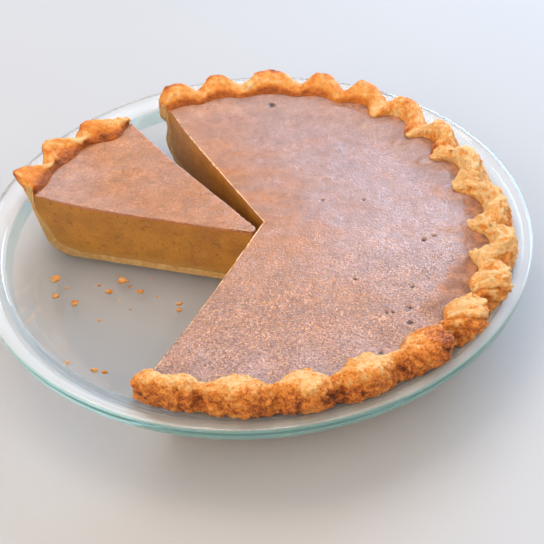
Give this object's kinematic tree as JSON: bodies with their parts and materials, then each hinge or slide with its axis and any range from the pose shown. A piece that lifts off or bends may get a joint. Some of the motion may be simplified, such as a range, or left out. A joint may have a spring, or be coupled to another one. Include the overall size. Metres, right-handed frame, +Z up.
{
  "type": "pumpkin pie",
  "caption": "Part-eaten pumpkin pie with a pinched, fluted crust, in its own clear round pie dish, with one cut slice left standing in the gap.",
  "frame": {"origin": "centre of the dish's flat underside", "axes": "+Z up, along the dish's axis. The pie's gap faces -X, and its back cut and the free slice lie toward -X and +Y"},
  "size_m": [0.2414, 0.2414, 0.0449],
  "materials": {
    "clear_glass": "clear, smooth, with a faint green edge",
    "baked_crust": "matt golden baked pastry",
    "pumpkin_filling": "matt set custard with a brown baked skin"
  },
  "bodies": {
    "root": {"pie_dish": "clear_glass", "pie_crust": "baked_crust", "pie_filling": "pumpkin_filling", "slice_crust": "baked_crust", "slice_filling": "pumpkin_filling"}
  },
  "joints": []
}
